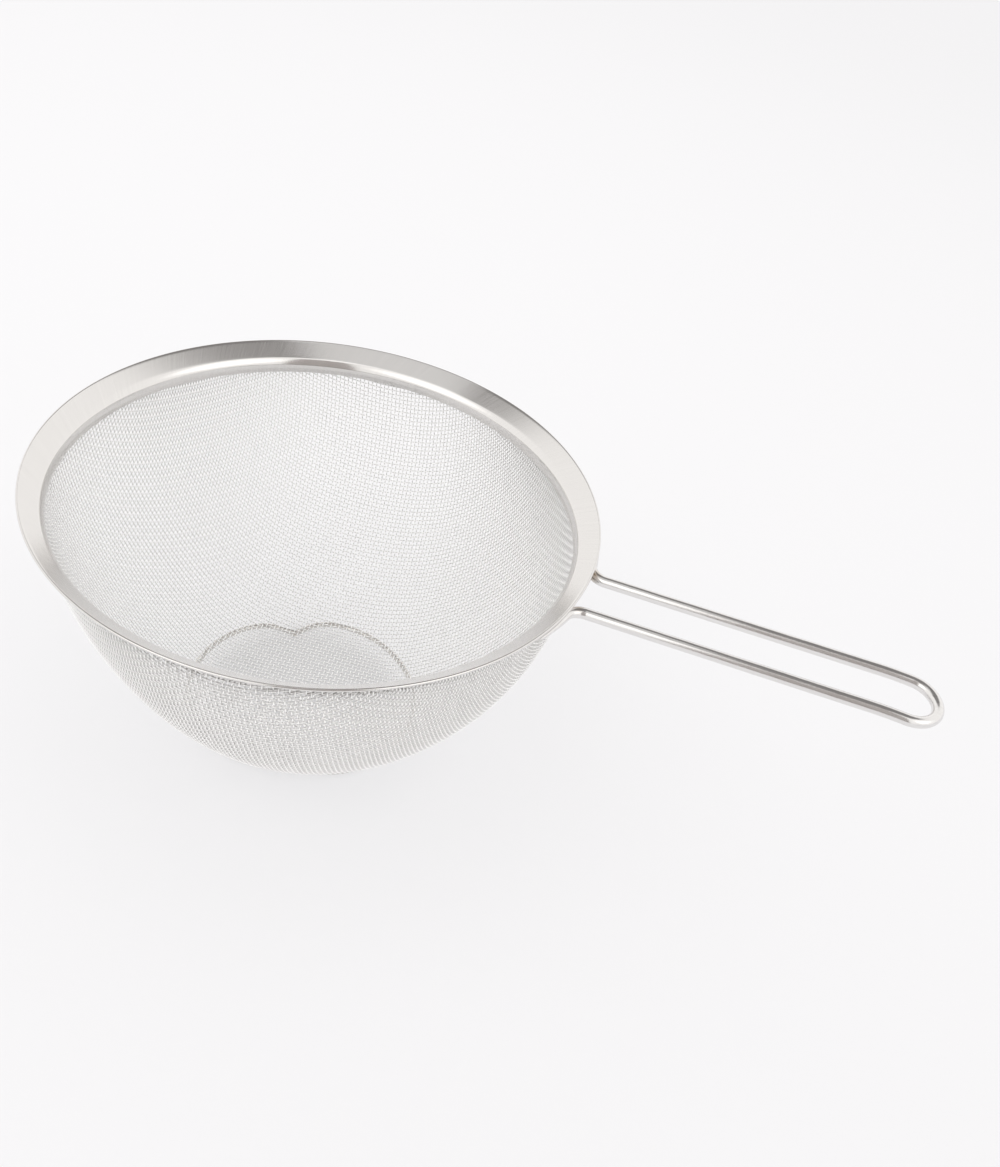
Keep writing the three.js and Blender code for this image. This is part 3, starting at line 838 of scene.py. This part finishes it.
def studio_point(right, away, up):
    """A place in metres, measured from the bowl's axis at the floor."""
    return np.array((AXIS_X / METRE, 0, 0)) + right * RIGHTWARD + away * AWAY + up * UP


def add_plate(name, centre, across, along, material):
    """A flat stage piece with its half-widths along two directions."""
    mesh = bpy.data.meshes.new(name)
    signs = ((-1, -1), (1, -1), (1, 1), (-1, 1))
    mesh.from_pydata([tuple(centre + u * across + v * along) for u, v in signs], [], [(0, 1, 2, 3)])
    mesh.materials.append(material)
    plate = bpy.data.objects.new(name, mesh)
    bpy.context.scene.collection.objects.link(plate)
    return plate


def add_floor():
    """Pale paper that the camera and the metal see partly lit by itself, so that its shadows stay faint.

    Under the bowl its glow is turned down, as a painted shadow, and far away it goes over into the white
    behind it.
    """
    reach = 6.0
    fade_start, fade_end = 1.0, 3.5
    shade_core, shade_edge = 0.03, 0.047
    glow_share, under_bowl, far_gain = 0.75, 0.72, 0.27
    material, nodes, links = new_material("floor")
    nodes.remove(nodes["Principled BSDF"])
    place = nodes.new("ShaderNodeNewGeometry").outputs["Position"]
    distance = vector_math(nodes, links, "DISTANCE", place, second=tuple(studio_point(0, 0, 0)))["Value"]
    far = smooth_step(nodes, links, distance, fade_start, fade_end)
    clear = smooth_step(nodes, links, distance, shade_core, shade_edge)
    paper = nodes.new("ShaderNodeBsdfDiffuse")
    paper.inputs["Color"].default_value = (0.9, 0.895, 0.9, 1)
    glow = nodes.new("ShaderNodeEmission")
    glow.inputs["Color"].default_value = (0.805, 0.8, 0.812, 1)
    gain = combine(nodes, links, "MULTIPLY", far, far_gain)
    # Painted shadow: near the bowl's axis the glow falls to under_bowl of its strength
    unshaded = combine(nodes, links, "MULTIPLY", clear, 1 - under_bowl)
    near_glow = combine(nodes, links, "ADD", unshaded, under_bowl)
    links.new(combine(nodes, links, "ADD", near_glow, gain), glow.inputs["Strength"])
    rays = nodes.new("ShaderNodeLightPath").outputs
    seen = combine(nodes, links, "MAXIMUM", rays["Is Camera Ray"], rays["Is Glossy Ray"])
    share = combine(nodes, links, "MAXIMUM", far, glow_share)
    mix = nodes.new("ShaderNodeMixShader")
    links.new(combine(nodes, links, "MULTIPLY", seen, share), mix.inputs["Fac"])
    links.new(paper.outputs["BSDF"], mix.inputs[1])
    links.new(glow.outputs["Emission"], mix.inputs[2])
    links.new(mix.outputs["Shader"], nodes["Material Output"].inputs["Surface"])
    add_plate("floor", np.zeros(3), np.array((reach, 0, 0)), np.array((0, reach, 0)), material)


def add_flag():
    """A dark upright card close behind the camera, which the bright metal shows as dark lines."""
    half_width, half_height, clearance = 0.125, 0.47, 0.06
    material, nodes, _ = new_material("flag")
    nodes["Principled BSDF"].inputs["Base Color"].default_value = (0.33, 0.31, 0.3, 1)
    nodes["Principled BSDF"].inputs["Roughness"].default_value = 0.9
    centre = studio_point(right=0.045, away=-0.42, up=half_height + clearance)
    flag = add_plate("flag", centre, half_width * RIGHTWARD, half_height * UP, material)
    flag.visible_camera = False
    flag.visible_shadow = False


def along_direction(nodes, links, direction, axis):
    """How far a direction runs along an axis."""
    return vector_math(nodes, links, "DOT_PRODUCT", direction, second=tuple(axis))["Value"]


def add_world():
    """Bright walls that are lowest at the back, a softbox on each side of the camera, and a dim ceiling."""
    ceiling = (0.26, 0.25, 0.245)
    walls = (1.08, 1.065, 1.05)
    softbox = (1.55, 1.53, 1.51)
    slope_right, slope_away = -0.025, 0.3
    ceiling_edge, wall_top = 0.885, 0.815
    azimuth, elevation = math.radians(48), math.radians(36)
    box_edge, box_core = math.cos(math.radians(30)), math.cos(math.radians(5))
    world = bpy.data.worlds.new("studio")
    bpy.context.scene.world = world
    world.use_nodes = True
    nodes, links = world.node_tree.nodes, world.node_tree.links
    direction = nodes.new("ShaderNodeTexCoord").outputs["Generated"]
    height = along_direction(nodes, links, direction, UP + slope_right * RIGHTWARD + slope_away * AWAY)
    below = smooth_step(nodes, links, height, ceiling_edge, wall_top)
    room = colour_mix(nodes, links, below, ceiling, walls)
    boxes = []
    for side in (-1, 1):
        level = side * math.sin(azimuth) * RIGHTWARD - math.cos(azimuth) * AWAY
        axis = math.cos(elevation) * level + math.sin(elevation) * UP
        facing = along_direction(nodes, links, direction, axis)
        boxes.append(smooth_step(nodes, links, facing, box_edge, box_core))
    in_box = combine(nodes, links, "MAXIMUM", *boxes)
    links.new(colour_mix(nodes, links, in_box, room, softbox), nodes["Background"].inputs["Color"])


def add_light(name, width, depth, radiance, place):
    """A rectangle of light that faces straight down."""
    data = bpy.data.lights.new(name, "AREA")
    data.shape = "RECTANGLE"
    data.size = width
    data.size_y = depth
    data.energy = radiance * math.pi * width * depth
    light = bpy.data.objects.new(name, data)
    light.location = place
    bpy.context.scene.collection.objects.link(light)
    return light


def add_lights():
    """A softbox over the front left of the bowl, and a wide fill for the weave that no reflection shows."""
    front_left = (AXIS_X / METRE - 0.125, -0.05, 0.8)
    overhead = studio_point(right=-0.3, away=0.1, up=1.6)
    add_light("panel", width=0.43, depth=0.3, radiance=0.5, place=front_left)
    fill = add_light("fill", width=2.6, depth=2.6, radiance=1.65, place=overhead)
    fill.visible_glossy = False
    fill.visible_camera = False


add_floor()
add_flag()
add_world()
add_lights()
bpy.context.scene.view_settings.view_transform = "Standard"
